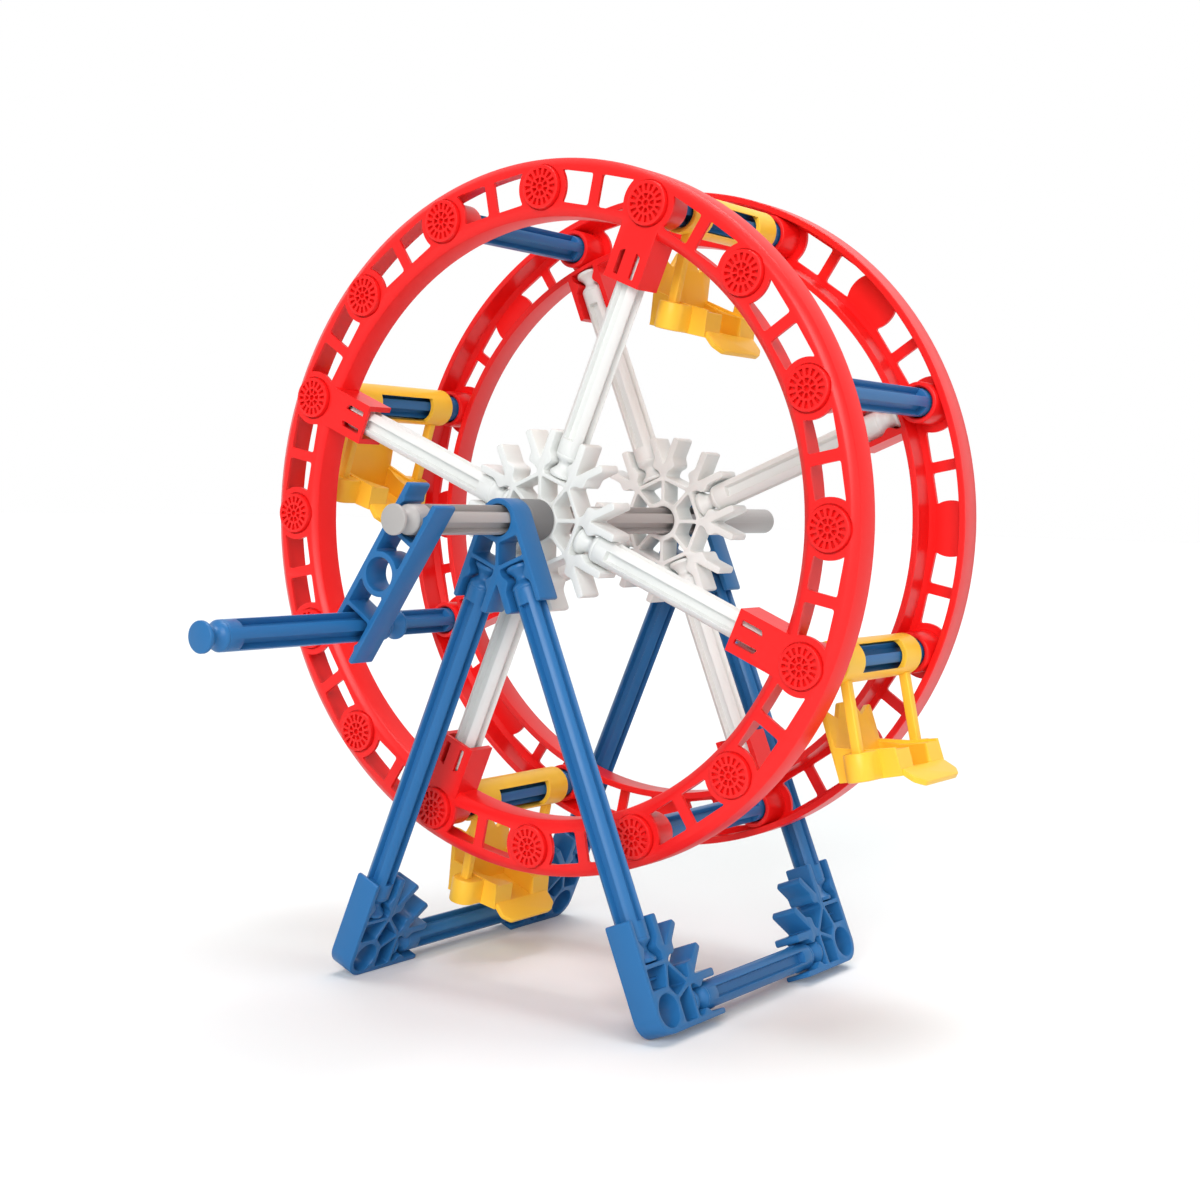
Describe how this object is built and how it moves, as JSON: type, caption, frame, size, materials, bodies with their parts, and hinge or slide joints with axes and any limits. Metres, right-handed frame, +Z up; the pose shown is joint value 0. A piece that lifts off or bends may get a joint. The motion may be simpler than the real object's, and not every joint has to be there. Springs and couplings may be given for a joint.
{
  "type": "building block ferris wheel",
  "caption": "Hand-cranked ferris wheel of snap-in rods and slotted connectors, with twin moulded rings, hanging seats and an A-frame stand",
  "frame": {"origin": "on the floor, under the middle of the object's bounding box", "axes": "+Z up, the axle along Y with the crank toward -Y, +X to the right seen from the crank"},
  "size_m": [0.1616, 0.1846, 0.1803],
  "materials": {
    "red_plastic": "moulded satin gloss",
    "blue_plastic": "moulded satin gloss",
    "white_plastic": "moulded satin gloss",
    "grey_plastic": "moulded satin gloss",
    "dark_grey_plastic": "moulded matt",
    "yellow_plastic": "moulded satin gloss"
  },
  "bodies": {
    "stand": {"apex_near": "blue_plastic", "apex_far": "blue_plastic", "leg_near_left": "blue_plastic", "leg_near_right": "blue_plastic", "leg_far_left": "blue_plastic", "leg_far_right": "blue_plastic", "foot_near_left": "blue_plastic", "foot_near_right": "blue_plastic", "foot_far_left": "blue_plastic", "foot_far_right": "blue_plastic", "base_rod_left": "blue_plastic", "base_rod_right": "blue_plastic"},
    "wheel": {"axle": "grey_plastic", "crank_bar": "blue_plastic", "crank_handle": "blue_plastic", "spacer": "dark_grey_plastic", "hub_near": "white_plastic", "hub_far": "white_plastic", "spoke_near_1": "white_plastic", "spoke_near_2": "white_plastic", "spoke_near_3": "white_plastic", "spoke_near_4": "white_plastic", "spoke_far_1": "white_plastic", "spoke_far_2": "white_plastic", "spoke_far_3": "white_plastic", "spoke_far_4": "white_plastic", "ring_near": "red_plastic", "ring_far": "red_plastic", "cross_rod_1": "blue_plastic", "cross_rod_2": "blue_plastic", "cross_rod_3": "blue_plastic", "cross_rod_4": "blue_plastic", "cross_rod_5": "blue_plastic", "cross_rod_6": "blue_plastic", "cross_rod_7": "blue_plastic", "cross_rod_8": "blue_plastic"},
    "seat_1": {"seat_1": "yellow_plastic"},
    "seat_2": {"seat_2": "yellow_plastic"},
    "seat_3": {"seat_3": "yellow_plastic"},
    "seat_4": {"seat_4": "yellow_plastic"}
  },
  "joints": [
    {"name": "wheel_spin", "type": "hinge", "parent": "stand", "child": "wheel", "pos_m": [-0.0026, 0.0186, 0.10343], "axis": [0, 1, 0], "continuous": true},
    {"name": "seat_1_swing", "type": "hinge", "parent": "wheel", "child": "seat_1", "pos_m": [0.02448, 0.0186, 0.16879], "axis": [0, 1, 0], "continuous": true},
    {"name": "seat_2_swing", "type": "hinge", "parent": "wheel", "child": "seat_2", "pos_m": [0.06277, 0.0186, 0.07635], "axis": [0, 1, 0], "continuous": true},
    {"name": "seat_3_swing", "type": "hinge", "parent": "wheel", "child": "seat_3", "pos_m": [-0.02967, 0.0186, 0.03806], "axis": [0, 1, 0], "continuous": true},
    {"name": "seat_4_swing", "type": "hinge", "parent": "wheel", "child": "seat_4", "pos_m": [-0.06796, 0.0186, 0.1305], "axis": [0, 1, 0], "continuous": true}
  ]
}
